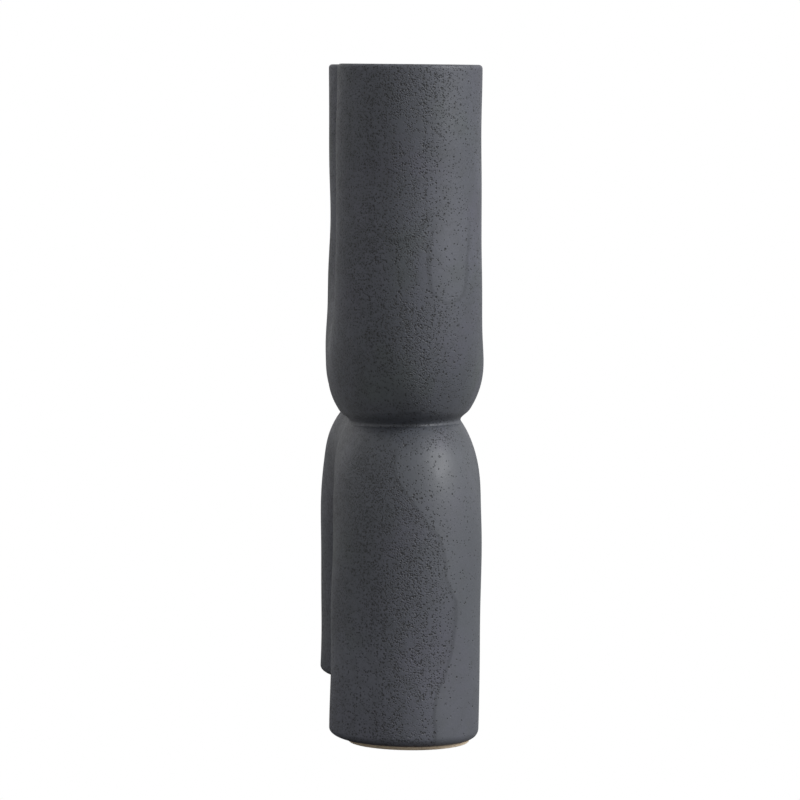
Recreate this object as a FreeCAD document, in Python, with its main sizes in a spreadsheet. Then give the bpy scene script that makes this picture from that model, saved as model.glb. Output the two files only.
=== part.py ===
"""Sculptural stoneware vase: an upright half ring of thick tube (the bowl, with two open mouths) luted on an
upturned half ring (the arch, which stands on two closed feet).

Frame: +X runs from the far column to the near one, +Y across the tubes, +Z up. The origin is on the ground,
midway between the feet. Sizes are millimetres.

The clay pieces meet face to face: arms on elbows, elbows on the waist slab and collar, elbows on foot rings,
and a base plate let into each foot ring."""

import FreeCAD, Part
import Sketcher
import math
import os

DIMENSIONS = {
    "total_height": 400.0,
    "column_offset": 127.0,      # from the middle of the vase to each column's axis
    "arm_spring": 300.0,         # height where the bowl's bends start
    "leg_spring": 60.0,          # height where the arch's bends start
    "bowl_drop": 88.0,           # from the bowl's spring down to its tube's axis at the waist
    "arch_rise": 102.0,          # from the arch's spring up to its tube's axis at the waist
    "arm_radius": 43.5,
    "bowl_radius": 47.0,         # the bowl's tube at the waist
    "leg_radius": 45.2,
    "arch_radius": 41.0,         # the arch's tube at the waist
    "corner_swell": 2.0,         # how much wider the tubes grow at the corners of their bends
    "bend_square": 5.0,          # 2 would round the bends' outside like an ellipse, and more tightens the corners
    "wall": 7.0,
    "lip_rounding": 2.5,
    "foot_width": 18.0,          # the thick roll of clay round the bottom of each foot
    "foot_height": 12.0,
    "foot_rounding": 10.0,
    "waist_height": 186.0,
    "slab_thickness": 8.0,
    "slab_length": 270.0,
    "slab_width": 64.0,
    "plate_thickness": 8.0,
    "vent_radius": 4.0,
}

SIDES = {"near": 1, "far": -1}   # the near column stands at +X
BENDS = {
    "bowl": ("arm_spring", "bowl_drop", "arm_radius", "bowl_radius"),
    "arch": ("leg_spring", "arch_rise", "leg_radius", "arch_radius"),
}
BEND_SECTIONS = 10               # ovals that shape each quarter bend
TRIM_SPAN = 400.0                # side of the trimming boxes, longer than any piece
TOLERANCE = 0.01

os.makedirs("parts", exist_ok=True)
doc = FreeCAD.newDocument("StonewareVase")


def make_sheet():
    sheet = doc.addObject("Spreadsheet::Sheet", "Dimensions")
    for row, (alias, value) in enumerate(DIMENSIONS.items(), start=1):
        sheet.set(f"A{row}", alias)
        sheet.set(f"B{row}", str(value))
        sheet.setAlias(f"B{row}", alias)
    doc.recompute()


def cells(formula):
    """Turns a formula in plain dimension names into one that reads the sheet."""
    for alias in sorted(DIMENSIONS, key=len, reverse=True):
        formula = formula.replace(alias, f"Dimensions.{alias}")
    return formula


def bind(obj, **formulas):
    """Binds properties to formulas. A double underscore in a name stands for a dot."""
    for path, formula in formulas.items():
        obj.setExpression(path.replace("__", "."), cells(formula))


def less(whole, *parts):
    """A dimension less some others, as a value and as a formula."""
    value = DIMENSIONS[whole] - sum(DIMENSIONS[part] for part in parts)
    return value, " - ".join((whole, *parts))


def origin_feature(body, role):
    return next(feature for feature in body.Origin.OriginFeatures if feature.Role == role)


def sketch_on(body, name, role):
    sketch = body.newObject("Sketcher::SketchObject", name)
    sketch.AttachmentSupport = [(origin_feature(body, role), "")]
    sketch.MapMode = "FlatFace"
    return sketch


def dimension(sketch, name, kind, point, value, formula):
    """Holds a point's distance from the sketch's origin, or a circle's radius, by a formula."""
    if kind == "Radius":
        index = sketch.addConstraint(Sketcher.Constraint(kind, point[0], value))
    else:
        index = sketch.addConstraint(Sketcher.Constraint(kind, -1, 1, *point, value))
    sketch.renameConstraint(index, name)
    sketch.setExpression(f"Constraints.{name}", cells(formula))


def thrown_ring(name, outline, rounded_height, rounding, side):
    """A ring thrown on the wheel: a stepped section turned about the column's axis, with a rounded edge.
    outline lists the corners as (reach, height), and the first edge is level. A height of None is the ground."""
    body = doc.addObject("PartDesign::Body", name)
    sketch = sketch_on(body, f"{name}_section", "XZ_Plane")
    corners = [(reach[0], height[0] if height else 0.0) for reach, height in outline]
    count = len(corners)
    for start, end in zip(corners, corners[1:] + corners[:1]):
        sketch.addGeometry(Part.LineSegment(FreeCAD.Vector(*start, 0), FreeCAD.Vector(*end, 0)), False)
    for edge in range(count):
        sketch.addConstraint(Sketcher.Constraint("Coincident", edge, 2, (edge + 1) % count, 1))
        sketch.addConstraint(Sketcher.Constraint("Vertical" if edge % 2 else "Horizontal", edge))
    for edge, (reach, height) in enumerate(outline):
        if edge % 2:
            dimension(sketch, f"reach_{edge}", "DistanceX", (edge, 1), *reach)
        elif height:
            dimension(sketch, f"height_{edge}", "DistanceY", (edge, 1), *height)
        else:
            sketch.addConstraint(Sketcher.Constraint("PointOnObject", edge, 1, -1))
    turned = body.newObject("PartDesign::Revolution", f"{name}_turned")
    turned.Profile = sketch
    turned.ReferenceAxis = (origin_feature(body, "Z_Axis"), [""])
    turned.Angle = 360.0
    doc.recompute()
    outer = max(reach for reach, height in corners)
    rim_edges = [
        f"Edge{number}"
        for number, edge in enumerate(turned.Shape.Edges, start=1)
        if edge.BoundBox.ZLength < TOLERANCE and abs(edge.BoundBox.ZMin - rounded_height) < TOLERANCE
        and (rounded_height > 0 or edge.BoundBox.XMax > outer - TOLERANCE)
    ]
    rounded = body.newObject("PartDesign::Fillet", f"{name}_rounded")
    rounded.Base = (turned, rim_edges)
    bind(rounded, Radius=rounding)
    bind(body, Placement__Base__x=f"{side} * column_offset")
    return body


def arm_tube(label, side):
    inner = less("arm_radius", "wall")
    outer = less("arm_radius")
    low = less("arm_spring")
    high = less("total_height")
    outline = [(inner, low), (outer, low), (outer, high), (inner, high)]
    return thrown_ring(f"{label}_arm_tube", outline, high[0], "lip_rounding", side)


def foot_ring(label, side):
    """The bottom of a leg, with a thick roll of clay inside its foot."""
    hole = less("leg_radius", "foot_width")
    inner = less("leg_radius", "wall")
    outer = less("leg_radius")
    ledge = less("foot_height")
    high = less("leg_spring")
    outline = [(hole, None), (outer, None), (outer, high), (inner, high), (inner, ledge), (hole, ledge)]
    return thrown_ring(f"{label}_foot_ring", outline, 0.0, "foot_rounding", side)


def foot_plate(label, side):
    """The rolled disc that closes a foot, with the vent that lets steam out of the hollow leg in the kiln."""
    name = f"{label}_foot_plate"
    body = doc.addObject("PartDesign::Body", name)
    disc = sketch_on(body, f"{name}_disc", "XY_Plane")
    centre = FreeCAD.Vector(0, 0, 0)
    upward = FreeCAD.Vector(0, 0, 1)
    radius = less("leg_radius", "foot_width")
    disc.addGeometry(Part.Circle(centre, upward, radius[0]), False)
    disc.addConstraint(Sketcher.Constraint("Coincident", 0, 3, -1, 1))
    dimension(disc, "radius", "Radius", (0, 3), *radius)
    pad = body.newObject("PartDesign::Pad", f"{name}_pad")
    pad.Profile = disc
    bind(pad, Length="plate_thickness")
    doc.recompute()
    vent = sketch_on(body, f"{name}_vent", "XY_Plane")
    vent.addGeometry(Part.Circle(centre, upward, DIMENSIONS["vent_radius"]), False)
    vent.addConstraint(Sketcher.Constraint("Coincident", 0, 3, -1, 1))
    dimension(vent, "radius", "Radius", (0, 3), *less("vent_radius"))
    hole = body.newObject("PartDesign::Pocket", f"{name}_hole")
    hole.Profile = vent
    hole.Type = "ThroughAll"
    hole.Reversed = True
    doc.recompute()
    if hole.Shape.Volume > pad.Shape.Volume - 1.0:
        raise RuntimeError(f"{name}: the vent cut nothing")
    bind(body, Placement__Base__x=f"{side} * column_offset")
    return body


def bend_loft(name, kind, inset, side):
    """A quarter bend from a column to the middle of the vase, through ovals that stand round the bend's middle.
    The bend's outside follows a squared ellipse, and its inside a plain one."""
    spring, drop, end_radius, waist_radius = BENDS[kind]
    down = 1 if kind == "bowl" else -1
    ovals = []
    for step in range(BEND_SECTIONS):
        turn = math.radians(90.0 * step / (BEND_SECTIONS - 1))
        across = round(math.cos(turn), 6)
        downward = round(math.sin(turn), 6)
        swell = round(downward**2, 6)
        corner = round(math.sin(2 * turn) ** 2, 6)
        outer = (
            f"(({across} / (column_offset + {end_radius})) ^ bend_square"
            f" + ({downward} / ({drop} + {waist_radius})) ^ bend_square) ^ (-1 / bend_square)"
        )
        inner = (
            f"(({across} / (column_offset - {end_radius})) ^ 2"
            f" + ({downward} / ({drop} - {waist_radius})) ^ 2) ^ (-0.5)"
        )
        width = f"{end_radius} + ({waist_radius} - {end_radius}) * {swell} + {corner} * corner_swell - {inset}"
        oval = doc.addObject("Part::Ellipse", f"{name}_oval_{step}")
        tilt = math.degrees(side * down * turn)
        oval.Placement.Rotation = FreeCAD.Rotation(FreeCAD.Vector(0, 1, 0), tilt)
        bind(
            oval,
            MajorRadius=f"max(({outer} - {inner}) / 2 - {inset}; {width})",
            MinorRadius=width,
            Placement__Base__x=f"{side * across} * ({outer} + {inner}) / 2",
            Placement__Base__z=f"{spring} - {down * downward} * ({outer} + {inner}) / 2",
        )
        ovals.append(oval)
    loft = doc.addObject("Part::Loft", name)
    loft.Sections = ovals
    loft.Solid = True
    loft.Ruled = False
    return loft


def flat_box(name, bottom, height=None):
    """A wide block from a height given as a formula, for trimming at the waist."""
    block = doc.addObject("Part::Box", name)
    block.Length = block.Width = block.Height = TRIM_SPAN
    block.Placement.Base = FreeCAD.Vector(-TRIM_SPAN / 2, -TRIM_SPAN / 2, 0)
    bind(block, Placement__Base__z=bottom)
    if height:
        bind(block, Height=height)
    return block


def joined(kind, name, base, tool):
    """A Part::Cut, Part::Common or Part::Fuse of two shapes."""
    result = doc.addObject(f"Part::{kind}", name)
    result.Base = base
    result.Tool = tool
    return result


def elbow(label, kind, side):
    """A hollow quarter bend, cut square where the two elbows meet and flat where it sits on the waist.
    Gives back the elbow and its solid outside."""
    name = f"{label}_{kind}_elbow"
    outside = bend_loft(f"{name}_outside", kind, "0", side)
    inside = bend_loft(f"{name}_inside", kind, "wall", side)
    tube = joined("Cut", f"{name}_tube", outside, inside)
    if kind == "arch":
        trim = flat_box(f"{name}_trim", "waist_height - slab_thickness / 2")
    else:
        trim = flat_box(f"{name}_trim", f"waist_height + slab_thickness / 2 - {TRIM_SPAN}")
    return joined("Cut", name, tube, trim), outside


def waist_block(name):
    outline = doc.addObject("Part::Ellipse", f"{name}_outline")
    bind(outline, MajorRadius="slab_length / 2", MinorRadius="slab_width / 2",
         Placement__Base__z="waist_height - slab_thickness / 2")
    block = doc.addObject("Part::Extrusion", name)
    block.Base = outline
    block.DirMode = "Custom"
    block.Dir = FreeCAD.Vector(0, 0, 1)
    block.Solid = True
    bind(block, LengthFwd="slab_thickness")
    return block


def waist_collar(bowl_outsides):
    """The coil of clay worked round the joint. It carries the bowl's skin on down to the arch, whose flattened top
    stands out as a narrow ledge, and the slab lies inside it."""
    name = "waist_collar"
    slices = []
    for outside in bowl_outsides:
        band = flat_box(f"{outside.Name}_band", "waist_height - slab_thickness / 2", "slab_thickness")
        slices.append(joined("Common", f"{outside.Name}_slice", outside, band))
    ring = joined("Fuse", f"{name}_outside", *slices)
    return joined("Cut", name, ring, waist_block(f"{name}_hollow"))


def build():
    make_sheet()
    pieces = [waist_block("waist_slab")]
    bowl_outsides = []
    for label, side in SIDES.items():
        pieces.append(arm_tube(label, side))
        bowl_elbow, outside = elbow(label, "bowl", side)
        bowl_outsides.append(outside)
        arch_elbow, _ = elbow(label, "arch", side)
        pieces += [bowl_elbow, arch_elbow]
        pieces.append(foot_ring(label, side))
        pieces.append(foot_plate(label, side))
    pieces.append(waist_collar(bowl_outsides))
    doc.recompute()
    return pieces


def check(pieces):
    for obj in doc.Objects:
        if {"Invalid", "Error"} & set(obj.State):
            raise RuntimeError(f"{obj.Name} is {obj.State}")
    for piece in pieces:
        if piece.Shape.isNull() or not piece.Shape.isValid() or len(piece.Shape.Solids) != 1:
            raise RuntimeError(f"{piece.Label} isn't one valid solid")


def export(pieces):
    for piece in pieces:
        piece.Shape.exportStep(f"parts/{piece.Label}.step")
        print(f"{piece.Label}: {piece.Shape.Volume / 1000:.1f} cm3")


clay_pieces = build()
check(clay_pieces)
export(clay_pieces)
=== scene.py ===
"""The looks of the stoneware vase: one closed mesh for each clay piece, a matte charcoal glaze with
fine pits and soft runs, bare clay under the feet, a pale floor, soft studio light and the camera.

Lengths are metres, in the frame of the CAD model: +X from the far column to the near one, +Z up."""

import bmesh
import bpy
import math
import numpy as np
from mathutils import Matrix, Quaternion, Vector


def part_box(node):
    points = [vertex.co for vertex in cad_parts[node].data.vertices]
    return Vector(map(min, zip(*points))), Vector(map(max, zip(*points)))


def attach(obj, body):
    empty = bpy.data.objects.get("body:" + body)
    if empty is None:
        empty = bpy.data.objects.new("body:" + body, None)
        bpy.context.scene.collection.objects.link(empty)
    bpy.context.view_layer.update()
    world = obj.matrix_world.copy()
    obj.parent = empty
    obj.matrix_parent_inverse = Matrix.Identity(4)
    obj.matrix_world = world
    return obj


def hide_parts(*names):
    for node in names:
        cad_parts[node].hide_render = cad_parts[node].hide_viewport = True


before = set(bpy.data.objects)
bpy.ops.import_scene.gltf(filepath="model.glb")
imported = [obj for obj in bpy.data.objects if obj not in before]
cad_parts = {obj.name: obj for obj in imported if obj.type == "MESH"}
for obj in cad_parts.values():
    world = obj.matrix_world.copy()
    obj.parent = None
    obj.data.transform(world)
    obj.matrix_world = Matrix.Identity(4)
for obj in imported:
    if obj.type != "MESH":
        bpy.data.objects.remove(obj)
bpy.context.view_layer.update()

MM = 0.001

# The tubes, as the CAD model gives them
arm_low, arm_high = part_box("near_arm_tube")
foot_low, foot_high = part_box("near_foot_ring")
slab_low, slab_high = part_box("waist_slab")
COLUMN_X = (arm_low.x + arm_high.x) / 2
WAIST_Z = (slab_low.z + slab_high.z) / 2
LUTE_HALF = (slab_high.z - slab_low.z) / 2     # half the height of the luted waist
SLAB_X = slab_high.x
SLAB_Y = slab_high.y
WALL = 7 * MM
SIDES = {"near": 1, "far": -1}
KINDS = ("bowl", "arch")

# Each half ring: the height where its bends start, how far off its tube's axis passes the waist, which
# way it opens, its tube's radius at the columns and at the waist, and how squarely its outside turns
# (2 is an ellipse)
RING = {
    "bowl": {
        "spring": arm_low.z, "drop": 88 * MM, "opens": 1,
        "column": 42.7 * MM, "waist": 45.4 * MM, "square": 5.0,
    },
    "arch": {
        "spring": foot_high.z, "drop": 102 * MM, "opens": -1,
        "column": 44.1 * MM, "waist": 38.5 * MM, "square": 4.6,
    },
}
CORNER_SWELL = 2.0 * MM     # how much wider the tubes grow at the corners of their bends
SLAB_DISH = 2.5 * MM        # how far the slab's top sinks in the middle
PLATE_INSET = 18.3 * MM     # from a leg's wall in to the edge of its foot plate

# Fineness of the meshes
AROUND = 192
BEND_STEPS = 96
INNER_STEPS = 48
COLLAR_STEPS = 72       # from a tip of the waist oval to its middle
COLLAR_ROWS = 14
WELD = 1e-7             # points nearer than this are one
SHARP_ANGLE = math.radians(50)

# Handwork: what a potter's hands leave
CREASE_TILT_Y = 0.03    # the waist climbs a little towards +Y
CREASE_TILT_X = 0.043   # and towards the near end
CREASE_REACH = 55 * MM  # how far above and below the waist the slope fades out
LEAN_HEIGHTS = (0.0, 182 * MM, 190 * MM, 400 * MM)
# How far each end of the vase stands off towards +Y at those heights
NEAR_LEAN = (0.0 * MM, 2.0 * MM, 0.8 * MM, -0.5 * MM)
FAR_LEAN = (-1.8 * MM, -2.6 * MM, 1.4 * MM, -1.1 * MM)
LUMP = 0.22 * MM
LUMP_WAVES = (
    ((61, 83, 47), 1.3, 1.0),
    ((-97, 55, 71), 4.1, 0.8),
    ((39, -121, 93), 2.2, 0.6),
    ((133, 29, -88), 5.6, 0.4),
)


# ---------------------------------------------------------------- shape

def lump(x, y, z):
    """How far hand pressure raises or sinks the wall here."""
    total = 0.0
    for (kx, ky, kz), phase, share in LUMP_WAVES:
        total = total + share * np.sin(kx * x + ky * y + kz * z + phase)
    return LUMP * total


def section(kind, turn):
    """The oval that a half ring's tube has at this turn: how far its middle lies from the bend's
    middle, and its reach from there in the bend's plane and across it."""
    ring = RING[kind]
    across, downward = np.abs(np.cos(turn)), np.abs(np.sin(turn))
    column, waist, square = ring["column"], ring["waist"], ring["square"]
    outer = ((across / (COLUMN_X + column)) ** square
             + (downward / (ring["drop"] + waist)) ** square) ** (-1 / square)
    inner = ((across / (COLUMN_X - column)) ** 2 + (downward / (ring["drop"] - waist)) ** 2) ** -0.5
    wide = column + (waist - column) * downward ** 2 + CORNER_SWELL * (2 * across * downward) ** 2
    return (outer + inner) / 2, np.maximum((outer - inner) / 2, wide), wide


def tube_points(kind, side, turn, around, inset=0.0, along=0.0):
    """Points on a tube's wall. turn runs from 0 where the bend starts to a quarter turn at the waist's
    middle, around is the angle round the tube, 0 on the bend's outside, inset is the depth under the
    outer skin, and along is how far up (or down) a straight column the point lies."""
    ring = RING[kind]
    turn, around, inset, along = np.broadcast_arrays(turn, around, inset, along)
    down = -ring["opens"]
    across, downward = np.cos(turn), np.sin(turn)
    middle, flat, wide = section(kind, turn)
    press = -inset
    for _ in range(3):
        reach = middle + (flat + press) * np.cos(around)
        x = side * reach * across
        y = (wide + press) * np.sin(around)
        z = ring["spring"] + down * (reach * downward - along)
        press = lump(x, y, z) - inset
    return np.stack([x, y, z], axis=-1)


def hand_shaped(points):
    """What the hands did to the whole vase: the waist's slope, and the lean of each half."""
    points = np.array(points, float)
    x, y, z = points.T
    near = (1 + np.clip(x / COLUMN_X, -1, 1)) / 2
    fade = np.exp(-(((z - WAIST_Z) / CREASE_REACH) ** 2))
    near_lean = np.interp(z, LEAN_HEIGHTS, NEAR_LEAN)
    far_lean = np.interp(z, LEAN_HEIGHTS, FAR_LEAN)
    lean = near * near_lean + (1 - near) * far_lean
    slope = (CREASE_TILT_X * x + CREASE_TILT_Y * y) * fade
    return np.stack([x, y + lean, z + slope], axis=-1)


class Skin:
    """Vertices and faces of one piece, gathered row by row."""

    def __init__(self):
        self.points = []
        self.faces = []

    def row(self, points):
        start = len(self.points)
        self.points.extend(map(tuple, points))
        return list(range(start, len(self.points)))

    def stitch(self, first, second):
        """Faces between two closed rows of the same length."""
        count = len(first)
        for i in range(count):
            j = (i + 1) % count
            self.faces.append((first[i], first[j], second[j], second[i]))

    def sheet(self, rows):
        """Rows of points joined one after another. Gives back every row's indices."""
        indices = [self.row(points) for points in rows]
        for first, second in zip(indices, indices[1:]):
            self.stitch(first, second)
        return indices

    def fan(self, ring, centre):
        middle = self.row([centre])[0]
        for i, first in enumerate(ring):
            self.faces.append((first, ring[(i + 1) % len(ring)], middle))


ANGLES = np.linspace(0.0, 2 * math.pi, AROUND, endpoint=False)


def finish_piece(name, skin, material, cut_height=None, keep_above=True):
    """Turns a skin into a closed object that stands for its CAD node, cut flat at the waist if asked."""
    mesh = bpy.data.meshes.new(name)
    mesh.from_pydata(skin.points, [], skin.faces)
    work = bmesh.new()
    work.from_mesh(mesh)
    bmesh.ops.remove_doubles(work, verts=work.verts, dist=WELD)
    if cut_height is not None:
        everything = work.verts[:] + work.edges[:] + work.faces[:]
        cut = bmesh.ops.bisect_plane(
            work, geom=everything, dist=WELD, plane_co=(0, 0, cut_height),
            plane_no=(0, 0, 1), clear_inner=keep_above, clear_outer=not keep_above,
        )
        edges = [g for g in cut["geom_cut"] if isinstance(g, bmesh.types.BMEdge)]
        bmesh.ops.triangle_fill(work, use_beauty=True, edges=edges)
    bmesh.ops.recalc_face_normals(work, faces=work.faces)
    work.to_mesh(mesh)
    work.free()
    flat = np.empty(len(mesh.vertices) * 3)
    mesh.vertices.foreach_get("co", flat)
    mesh.vertices.foreach_set("co", hand_shaped(flat.reshape(-1, 3)).ravel())
    mesh.shade_smooth()
    mesh.set_sharp_from_angle(angle=SHARP_ANGLE)
    mesh.materials.append(material)
    mesh.update()
    piece = bpy.data.objects.new(name, mesh)
    bpy.context.scene.collection.objects.link(piece)
    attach(piece, "root")
    return piece


def elbow(label, kind, material):
    """A hollow quarter bend, open at the column's end and at the middle of the vase, and cut flat at
    the waist."""
    side = SIDES[label]
    skin = Skin()
    outer_turns = np.linspace(0.0, math.pi / 2, BEND_STEPS + 1)
    inner_turns = np.linspace(0.0, math.pi / 2, INNER_STEPS + 1)
    outer = skin.sheet([tube_points(kind, side, turn, ANGLES) for turn in outer_turns])
    inner = skin.sheet([tube_points(kind, side, turn, ANGLES, WALL) for turn in inner_turns])
    skin.stitch(outer[0], inner[0])
    skin.stitch(outer[-1], inner[-1])
    above = kind == "bowl"
    height = WAIST_Z + (LUTE_HALF if above else -LUTE_HALF)
    name = f"{label}_{kind}_elbow"
    piece = finish_piece(f"{name}_clay", skin, material, height, above)
    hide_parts(name)


def turned_rows(kind, side, profile):
    """Rows of a straight column's wall turned from a profile of (inset, distance along the column)."""
    return [tube_points(kind, side, 0.0, ANGLES, inset, along) for inset, along in profile]


def quarter(start, end, bulge, steps):
    """Points of a quarter ellipse from start to end, leaving start along the axis that bulge names."""
    points = []
    for step in range(steps + 1):
        angle = math.pi / 2 * step / steps
        first, second = math.sin(angle), 1 - math.cos(angle)
        if bulge == "inset":
            first, second = second, first
        inset = start[0] + (end[0] - start[0]) * second
        along = start[1] + (end[1] - start[1]) * first
        points.append((inset, along))
    return points


def arm_tube(label, material):
    """A straight thrown tube with a soft thin lip round its open mouth."""
    side = SIDES[label]
    height = arm_high.z - arm_low.z
    outer_lip = 2.2 * MM
    inner_lip = WALL - 3.0 * MM
    profile = [(0.0, height * step / 24) for step in range(24)]
    profile = [p for p in profile if p[1] < height - outer_lip - 1 * MM]
    profile += quarter((0.0, height - outer_lip), (outer_lip, height), "along", 6)
    profile += quarter((WALL - inner_lip, height), (WALL, height - inner_lip), "inset", 6)
    profile += [(WALL, height * (1 - step / 8)) for step in range(2, 9)]
    skin = Skin()
    rows = skin.sheet(turned_rows("bowl", side, profile))
    skin.stitch(rows[0], rows[-1])
    name = f"{label}_arm_tube"
    piece = finish_piece(f"{name}_clay", skin, material)
    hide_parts(name)


def foot_ring(label, material):
    """The bottom of a leg: a thick rounded foot, softer on the -Y side than on the +Y side."""
    side = SIDES[label]
    height = foot_high.z
    soft = 8.0 * MM - 3.0 * MM * np.sin(ANGLES)
    depth = 8.0 * MM
    edge = 2.2 * MM             # the upright unglazed edge under the rounding
    thick = 18 * MM
    ledge = 12 * MM
    flat = 0.0 * soft
    rows = [(flat, (height - depth) * step / 12) for step in range(13)]
    for step in range(1, 19):
        angle = math.pi / 2 * step / 18
        rows.append((soft * (1 - math.cos(angle)), height - depth + (depth - edge) * math.sin(angle)))
    rows += [(soft + 0.2 * MM, height - 0.4 * MM), (soft + 0.6 * MM, height)]
    rows += [(flat + thick, height), (flat + thick, height - ledge)]
    rows += [(flat + WALL, height - ledge), (flat + WALL, 0)]
    skin = Skin()
    made = skin.sheet([tube_points("arch", side, 0.0, ANGLES, inset, along) for inset, along in rows])
    skin.stitch(made[0], made[-1])
    name = f"{label}_foot_ring"
    piece = finish_piece(f"{name}_clay", skin, material)
    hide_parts(name)


def foot_plate(label, material):
    """The disc let into the foot, a little hollow underneath, with a softened vent hole."""
    side = SIDES[label]
    radius = RING["arch"]["column"] - PLATE_INSET
    vent = 4.0 * MM
    top = 7.8 * MM
    profile = [
        (radius, top), (radius, 0.8 * MM), (radius - 0.4 * MM, 0.4 * MM),
        (radius * 0.8, 0.7 * MM), (radius * 0.5, 0.9 * MM), (vent + 2 * MM, 1.0 * MM),
        (vent + 0.6 * MM, 1.2 * MM), (vent, 2.0 * MM), (vent, 7.0 * MM),
        (vent + 0.5 * MM, top), (radius * 0.6, top),
    ]
    skin = Skin()
    rows = []
    for reach, height in profile:
        x = side * COLUMN_X + reach * np.cos(ANGLES)
        y = reach * np.sin(ANGLES)
        rows.append(np.stack([x, y, np.full(AROUND, height)], axis=-1))
    made = skin.sheet(rows)
    skin.stitch(made[-1], made[0])
    name = f"{label}_foot_plate"
    piece = finish_piece(f"{name}_clay", skin, material)
    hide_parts(name)


def waist_edge(kind, side, share, sign):
    """Points where a half ring meets the luted waist, and the outward normals there. share runs from 0
    at the oval's tip to 1 at the vase's middle, and sign is the side of the tube, +1 for +Y."""
    ring = RING[kind]
    height = WAIST_Z + ring["opens"] * LUTE_HALF

    def cosine_at(turn):
        """The cosine of the angle round the tube where the skin passes the height, over 1 where it
        never does."""
        middle, flat, _ = section(kind, turn)
        cosine = (abs(ring["spring"] - height) / np.sin(turn) - middle) / flat
        for _ in range(4):
            around = sign * np.arccos(np.clip(cosine, -1, 1))
            miss = ring["opens"] * (tube_points(kind, side, turn, around)[..., 2] - height)
            cosine = cosine + miss / (flat * np.sin(turn))
        return cosine

    low, high = math.radians(20), math.pi / 2
    for _ in range(50):
        middle = (low + high) / 2
        low, high = (low, middle) if cosine_at(np.array(middle)) < 1 else (middle, high)
    turn = high + (math.pi / 2 - high) * share ** 2
    around = sign * np.arccos(np.clip(cosine_at(turn), -1, 1))
    small = 1e-4
    points = tube_points(kind, side, turn, around)
    along = tube_points(kind, side, turn + small, around) - points
    across = tube_points(kind, side, turn, around + small) - points
    normals = np.cross(along, across)
    normals /= np.linalg.norm(normals, axis=-1, keepdims=True)
    reach = section(kind, turn)[0]
    centre = np.stack([side * reach * np.cos(turn), 0 * turn,
                       ring["spring"] - ring["opens"] * reach * np.sin(turn)], axis=-1)
    outward = np.sign(np.sum(normals * (points - centre), axis=-1, keepdims=True))
    return points, normals * outward


def waist_loop(kind):
    """The whole oval where a half ring meets the waist, clockwise from above and from the middle of the
    +Y side: its points, and the outward normals there."""
    share = np.linspace(0.0, 1.0, COLLAR_STEPS + 1)
    parts = []
    for side, sign, order in ((1, 1, -1), (1, -1, 1), (-1, -1, -1), (-1, 1, 1)):
        points, normals = waist_edge(kind, side, share, sign)
        parts.append((points[::order][:-1], normals[::order][:-1]))
    return np.concatenate([p for p, _ in parts]), np.concatenate([n for _, n in parts])


def waist_collar(material):
    """The coil of clay worked into the crease, tangent to both half rings, round the hidden slab."""
    upper, upper_normal = waist_loop("bowl")
    lower, lower_normal = waist_loop("arch")
    tangent = np.roll(upper, -1, axis=0) - np.roll(upper, 1, axis=0)
    tangent /= np.linalg.norm(tangent, axis=1, keepdims=True)
    into_upper = np.cross(upper_normal, tangent)
    into_upper *= -np.sign(into_upper[:, 2:3])
    into_lower = np.cross(lower_normal, tangent)
    into_lower *= np.sign(into_lower[:, 2:3])
    handle = 4.0 * MM
    skin = Skin()
    rows = []
    for row in range(COLLAR_ROWS + 1):
        v = row / COLLAR_ROWS
        weights = ((1 - v) ** 3, 3 * (1 - v) ** 2 * v, 3 * (1 - v) * v ** 2, v ** 3)
        knots = (upper, upper + handle * into_upper, lower + handle * into_lower, lower)
        rows.append(sum(w * k for w, k in zip(weights, knots)))
    angle = np.arctan2(upper[:, 1] / SLAB_Y, upper[:, 0] / SLAB_X)   # the slab's edge, inside
    edge_x, edge_y = SLAB_X * np.cos(angle), SLAB_Y * np.sin(angle)
    for height in (WAIST_Z - LUTE_HALF, WAIST_Z + LUTE_HALF):
        rows.append(np.stack([edge_x, edge_y, 0 * angle + height], axis=-1))
    made = skin.sheet(rows)
    skin.stitch(made[-1], made[0])
    piece = finish_piece("waist_collar_clay", skin, material)
    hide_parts("waist_collar")


def waist_slab(material):
    """The slab that floors the bowl, dished on top, with a flat underside over the hollow arch."""
    skin = Skin()
    rows = []
    for reach in (0.02, 0.25, 0.5, 0.75, 0.93, 1.0):
        dish = SLAB_DISH * (1 - reach ** 2)
        rows.append(np.stack([SLAB_X * reach * np.cos(ANGLES), SLAB_Y * reach * np.sin(ANGLES),
                              0 * ANGLES + WAIST_Z + LUTE_HALF - dish], axis=-1))
    for reach in (1.0, 0.5, 0.02):
        rows.append(np.stack([SLAB_X * reach * np.cos(ANGLES), SLAB_Y * reach * np.sin(ANGLES),
                              0 * ANGLES + WAIST_Z - LUTE_HALF], axis=-1))
    made = skin.sheet(rows)
    skin.fan(made[0], (0, 0, WAIST_Z + LUTE_HALF - SLAB_DISH))
    skin.fan(made[-1], (0, 0, WAIST_Z - LUTE_HALF))
    piece = finish_piece("waist_slab_clay", skin, material)
    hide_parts("waist_slab")


# ---------------------------------------------------------------- materials

def srgb(red, green, blue):
    """A colour as seen on a screen, 0 to 255, in linear light."""
    def linear(level):
        level = level / 255
        return level / 12.92 if level <= 0.04045 else ((level + 0.055) / 1.055) ** 2.4
    return (linear(red), linear(green), linear(blue), 1.0)


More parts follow.
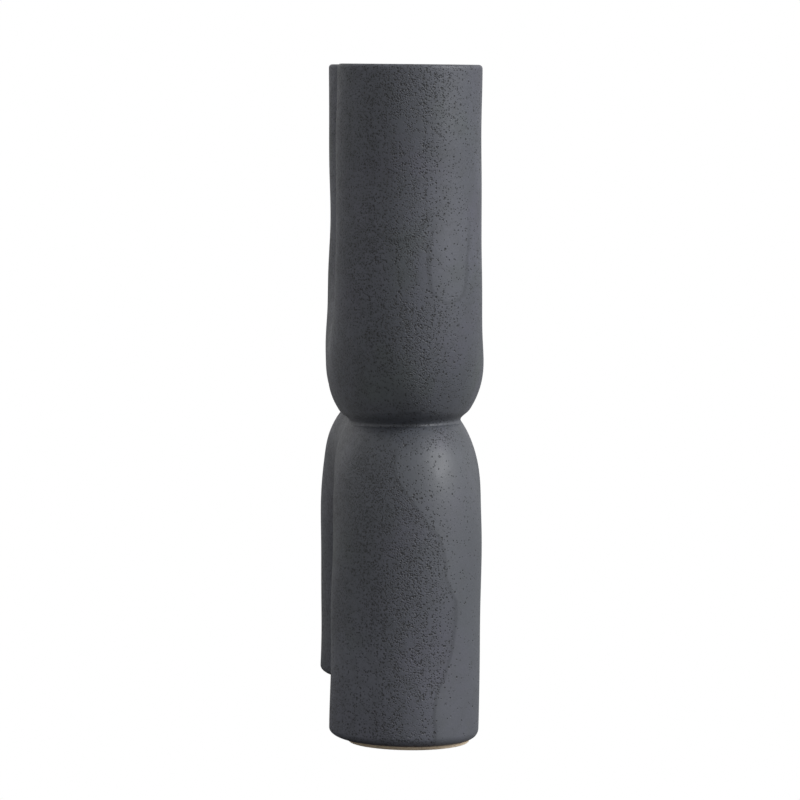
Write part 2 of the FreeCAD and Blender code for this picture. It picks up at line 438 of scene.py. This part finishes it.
class Nodes:
    """Short calls for building one material's node tree."""

    def __init__(self, name):
        self.material = bpy.data.materials.new(name)
        self.material.use_nodes = True
        self.tree = self.material.node_tree
        self.shader = self.tree.nodes["Principled BSDF"]
        self.place = self.add("ShaderNodeTexCoord").outputs["Object"]

    def add(self, kind, **settings):
        node = self.tree.nodes.new(kind)
        for key, value in settings.items():
            setattr(node, key, value)
        return node

    def feed(self, socket, value):
        if isinstance(value, bpy.types.NodeSocket):
            self.tree.links.new(value, socket)
        elif value is not None:
            socket.default_value = value

    def math(self, operation, first, second=None, third=None, clamp=False):
        node = self.add("ShaderNodeMath", operation=operation, use_clamp=clamp)
        for socket, value in zip(node.inputs, (first, second, third)):
            self.feed(socket, value)
        return node.outputs[0]

    def step(self, value, low, high, to_low=0.0, to_high=1.0):
        """Turns value smoothly from to_low at low to to_high at high."""
        node = self.add("ShaderNodeMapRange", interpolation_type="SMOOTHSTEP")
        for socket, given in zip(node.inputs, (value, low, high, to_low, to_high)):
            self.feed(socket, given)
        return node.outputs[0]

    def noise(self, scale, detail=2.0, roughness=0.5):
        node = self.add("ShaderNodeTexNoise")
        self.feed(node.inputs["Vector"], self.place)
        node.inputs["Scale"].default_value = scale
        node.inputs["Detail"].default_value = detail
        node.inputs["Roughness"].default_value = roughness
        return node.outputs[0]

    def cells(self, scale):
        node = self.add("ShaderNodeTexVoronoi")
        self.feed(node.inputs["Vector"], self.place)
        node.inputs["Scale"].default_value = scale
        return node.outputs["Distance"], node.outputs["Color"]

    def mix(self, share, first, second):
        node = self.add("ShaderNodeMix", data_type="RGBA", blend_type="MIX")
        self.feed(node.inputs[0], share)
        self.feed(node.inputs[6], first)
        self.feed(node.inputs[7], second)
        return node.outputs[2]

    def bump(self, height, distance, normal=None):
        node = self.add("ShaderNodeBump")
        self.feed(node.inputs["Height"], height)
        node.inputs["Distance"].default_value = distance
        node.inputs["Strength"].default_value = 1.0
        self.feed(node.inputs["Normal"], normal)
        return node.outputs[0]


def pits(nodes, scale, radius, density):
    """Small round pinholes: 1 in the middle of a pit, 0 outside. density is the share of cells with
    a pit."""
    distance, colour = nodes.cells(scale)
    split = nodes.add("ShaderNodeSeparateColor")
    nodes.feed(split.inputs[0], colour)
    chosen = nodes.math("LESS_THAN", split.outputs[0], density)
    size = nodes.math("MULTIPLY_ADD", split.outputs[1], radius * 0.6, radius * 0.5)
    inside = nodes.math("DIVIDE", distance, size)
    hollow = nodes.step(inside, 1.0, 0.45)
    return nodes.math("MULTIPLY", hollow, chosen)


def drips(n, x, y, z):
    """The near column's glaze runs: up to 1 inside a smooth run, and 1 along a run's edge."""
    wander = n.math("MULTIPLY_ADD", n.noise(30.0, 2.0), 14 * MM, -7 * MM)
    y = n.math("ADD", y, wander)
    outside = n.step(x, 110 * MM, 130 * MM)
    smooth, edge = 0.0, 0.0
    runs = (
        (-8 * MM, 16 * MM, 298 * MM, 332 * MM, 0.0),
        (23 * MM, 12 * MM, 262 * MM, 322 * MM, 0.6),
    )
    for middle, half, bottom, top, gloss in runs:
        aside = n.math("SUBTRACT", y, middle)
        under = n.math("MINIMUM", n.math("SUBTRACT", z, bottom + half), 0.0)
        aside_squared = n.math("MULTIPLY", aside, aside)
        under_squared = n.math("MULTIPLY", under, under)
        reach = n.math("SQRT", n.math("ADD", aside_squared, under_squared))
        depth = n.math("SUBTRACT", half, reach)
        seen = n.step(z, top, top - 30 * MM)
        inside = n.math("MULTIPLY", n.step(depth, -2 * MM, 2 * MM, 0.0, gloss), seen)
        smooth = n.math("MAXIMUM", inside, smooth)
        line = n.step(n.math("ABSOLUTE", depth), 1.9 * MM, 0.2 * MM)
        edge = n.math("MAXIMUM", n.math("MULTIPLY", line, seen), edge)
    above = n.step(z, 215 * MM, 235 * MM)
    border = n.step(z, 165 * MM, 110 * MM, -7 * MM, 23 * MM)
    border = n.math("ADD", border, n.step(z, 104 * MM, 86 * MM, 0.0, 5 * MM))
    border = n.math("ADD", border, n.step(z, 60 * MM, 20 * MM, 0.0, -11 * MM))
    depth = n.math("SUBTRACT", y, border)
    low_smooth = n.step(depth, -1 * MM, 2 * MM)
    low_edge = n.step(n.math("ABSOLUTE", depth), 1.7 * MM, 0.2 * MM)
    below = n.step(z, 180 * MM, 170 * MM)
    smooth = n.math("ADD", n.math("MULTIPLY", smooth, above), n.math("MULTIPLY", low_smooth, below))
    edge = n.math("ADD", n.math("MULTIPLY", edge, above), n.math("MULTIPLY", low_edge, below))
    return n.math("MULTIPLY", smooth, outside), n.math("MULTIPLY", edge, outside)


def glaze():
    """Matte charcoal glaze: grey with blue and green clouds, fine grain, crowded pinholes painted
    near-black for the shade inside them, smooth runs with darker edges, and a line of bare clay where it
    was wiped off the foot."""
    n = Nodes("charcoal_glaze")
    split = n.add("ShaderNodeSeparateXYZ")
    n.feed(split.inputs[0], n.place)
    x, y, z = (split.outputs[axis] for axis in "XYZ")
    smooth, edge = drips(n, x, y, z)
    cloud = n.noise(9.0, 3.0)
    tint = n.noise(21.0, 2.0)
    mottle = n.noise(130.0, 3.0, 0.6)
    grain = n.noise(1500.0, 2.0, 0.7)
    colour = n.mix(n.step(cloud, 0.35, 0.65), srgb(66, 69, 76), srgb(76, 78, 87))
    colour = n.mix(n.step(tint, 0.5, 0.72, 0.0, 0.6), colour, srgb(73, 73, 84))
    colour = n.mix(n.step(tint, 0.45, 0.25, 0.0, 0.6), colour, srgb(66, 73, 72))
    colour = n.mix(n.step(mottle, 0.35, 0.7, 0.0, 0.35), colour, srgb(57, 60, 63))
    colour = n.mix(n.step(grain, 0.45, 0.8, 0.0, 0.5), colour, srgb(50, 52, 55))
    colour = n.mix(n.math("MULTIPLY", smooth, 0.35), colour, srgb(80, 83, 88))
    colour = n.mix(n.math("MULTIPLY", edge, 0.45), colour, srgb(48, 51, 56))
    crowd = n.step(n.noise(24.0, 2.0), 0.3, 0.62)
    wander = n.math("MULTIPLY_ADD", n.noise(18.0), 30 * MM, -15 * MM)
    shy = n.step(n.math("ADD", y, wander), 32 * MM, 0.0, 0.2, 1.0)     # fewer pits towards +Y
    crowd = n.math("MULTIPLY", n.math("MULTIPLY_ADD", crowd, 0.65, 0.35), shy)
    crowd = n.math("MULTIPLY", crowd, n.math("MULTIPLY_ADD", smooth, -0.7, 1.0))
    small = pits(n, 1150.0, 0.62, n.math("MULTIPLY", crowd, 0.95))
    large = pits(n, 600.0, 0.50, n.math("MULTIPLY", crowd, 0.80))
    pit_depth_and_shade = n.math("MAXIMUM", small, large)
    # Pinholes are real hollows (bumped below); their near-black fill is painted shade inside them
    colour = n.mix(n.math("MULTIPLY", pit_depth_and_shade, 0.85), colour, srgb(16, 17, 19))
    rough_edge = n.math("MULTIPLY_ADD", n.noise(90.0, 3.0), 1.0 * MM, -0.5 * MM)
    height = n.math("ADD", z, rough_edge)
    thin = n.step(height, 4.0 * MM, 2.3 * MM)
    bare = n.step(height, 2.2 * MM, 1.7 * MM)
    colour = n.mix(n.math("MULTIPLY", thin, 0.8), colour, srgb(92, 74, 62))
    clay = n.mix(n.noise(400.0, 3.0), srgb(222, 200, 170), srgb(240, 222, 196))
    colour = n.mix(bare, colour, clay)
    n.feed(n.shader.inputs["Base Color"], colour)
    roughness = n.math("MULTIPLY_ADD", mottle, 0.16, 0.47)
    roughness = n.math("MULTIPLY_ADD", bare, 0.3, roughness, clamp=True)
    n.feed(n.shader.inputs["Roughness"], roughness)
    n.shader.inputs["Specular IOR Level"].default_value = 0.5
    sink = n.math("MULTIPLY", pit_depth_and_shade, -1.0)
    relief = n.bump(sink, 0.3 * MM)
    relief = n.bump(n.noise(420.0, 2.0, 0.6), 0.10 * MM, normal=relief)
    relief = n.bump(grain, 0.04 * MM, normal=relief)
    n.feed(n.shader.inputs["Normal"], relief)
    return n.material


def bare_clay():
    """Fired stoneware body, cream to tan, with fine grog and iron specks."""
    n = Nodes("bare_clay")
    colour = n.mix(n.step(n.noise(28.0, 3.0), 0.35, 0.65), srgb(206, 180, 148), srgb(224, 203, 174))
    colour = n.mix(n.step(n.noise(900.0, 3.0, 0.7), 0.45, 0.75, 0.0, 0.5), colour, srgb(178, 150, 120))
    specks = pits(n, 420.0, 0.2, 0.08)
    colour = n.mix(n.math("MULTIPLY", specks, 0.8), colour, srgb(96, 68, 48))
    n.feed(n.shader.inputs["Base Color"], colour)
    n.feed(n.shader.inputs["Roughness"], n.math("MULTIPLY_ADD", n.noise(300.0, 2.0), 0.15, 0.76))
    n.feed(n.shader.inputs["Normal"], n.bump(n.noise(800.0, 3.0, 0.65), 0.12 * MM))
    return n.material


def floor_material():
    """A floor that the camera sees as plain white, and that sends only a little light back up."""
    n = Nodes("pale_floor")
    n.shader.inputs["Base Color"].default_value = (0.25, 0.25, 0.25, 1)
    n.shader.inputs["Roughness"].default_value = 0.9
    white = n.add("ShaderNodeEmission")
    seen = n.add("ShaderNodeMixShader")
    n.feed(seen.inputs[0], n.add("ShaderNodeLightPath").outputs["Is Camera Ray"])
    n.tree.links.new(n.shader.outputs[0], seen.inputs[1])
    n.tree.links.new(white.outputs[0], seen.inputs[2])
    n.tree.links.new(seen.outputs[0], n.tree.nodes["Material Output"].inputs["Surface"])
    return n.material


# ---------------------------------------------------------------- stage

def camera():
    """Level with the lip, looking along the vase from its near end."""
    distance = 2.533
    swing = math.radians(1.9)
    height = 0.3948
    look_down = math.radians(4.567)
    look_aside = math.radians(0.02)
    roll = math.radians(0.57)
    picture_side = 800
    focal_pixels = 4094
    sensor_width = 36
    data = bpy.data.cameras.new("camera")
    data.sensor_width = sensor_width
    data.lens = sensor_width * focal_pixels / picture_side
    data.clip_end = 50
    eye = bpy.data.objects.new("camera", data)
    eye.location = (distance * math.cos(swing), 0.001 - distance * math.sin(swing), height)
    heading = math.pi - swing + look_aside
    level = math.cos(look_down)
    forward = Vector((math.cos(heading) * level, math.sin(heading) * level, -math.sin(look_down)))
    eye.rotation_mode = "QUATERNION"
    eye.rotation_quaternion = forward.to_track_quat("-Z", "Y") @ Quaternion((0, 0, 1), roll)
    bpy.context.scene.collection.objects.link(eye)
    bpy.context.scene.camera = eye


def area_light(name, place, target, size, power):
    data = bpy.data.lights.new(name, "AREA")
    data.shape = "RECTANGLE"
    data.size, data.size_y = size
    data.energy = power
    lamp = bpy.data.objects.new(name, data)
    lamp.location = place
    lamp.rotation_mode = "QUATERNION"
    lamp.rotation_quaternion = (Vector(target) - Vector(place)).to_track_quat("-Z", "Y")
    bpy.context.scene.collection.objects.link(lamp)


def lights():
    """A large soft light high on the +Y side, in a dim room whose walls the camera sees as white."""
    middle = (0.1, 0, 0.22)
    area_light("key", (1.0, 2.2, 1.7), middle, (1.1, 1.1), 80)
    world = bpy.data.worlds.new("studio")
    world.use_nodes = True
    tree = world.node_tree
    room = tree.nodes["Background"]
    room.inputs["Color"].default_value = (1, 1, 1, 1)
    room.inputs["Strength"].default_value = 0.72
    white = tree.nodes.new("ShaderNodeBackground")
    white.inputs["Color"].default_value = (1, 1, 1, 1)
    seen = tree.nodes.new("ShaderNodeMixShader")
    tree.links.new(tree.nodes.new("ShaderNodeLightPath").outputs["Is Camera Ray"], seen.inputs[0])
    tree.links.new(room.outputs[0], seen.inputs[1])
    tree.links.new(white.outputs[0], seen.inputs[2])
    tree.links.new(seen.outputs[0], tree.nodes["World Output"].inputs["Surface"])
    bpy.context.scene.world = world


def floor():
    span = 6.0
    mesh = bpy.data.meshes.new("floor")
    corners = [(-span, -span, 0), (span, -span, 0), (span, span, 0), (-span, span, 0)]
    mesh.from_pydata(corners, [], [(0, 1, 2, 3)])
    mesh.materials.append(floor_material())
    ground = bpy.data.objects.new("floor", mesh)
    bpy.context.scene.collection.objects.link(ground)


def build():
    camera()
    lights()
    floor()
    bpy.context.scene.view_settings.view_transform = "Standard"
    charcoal = glaze()
    clay = bare_clay()
    for label in SIDES:
        arm_tube(label, charcoal)
        for kind in KINDS:
            elbow(label, kind, charcoal)
        foot_ring(label, charcoal)
        foot_plate(label, clay)
    waist_collar(charcoal)
    waist_slab(clay)


build()
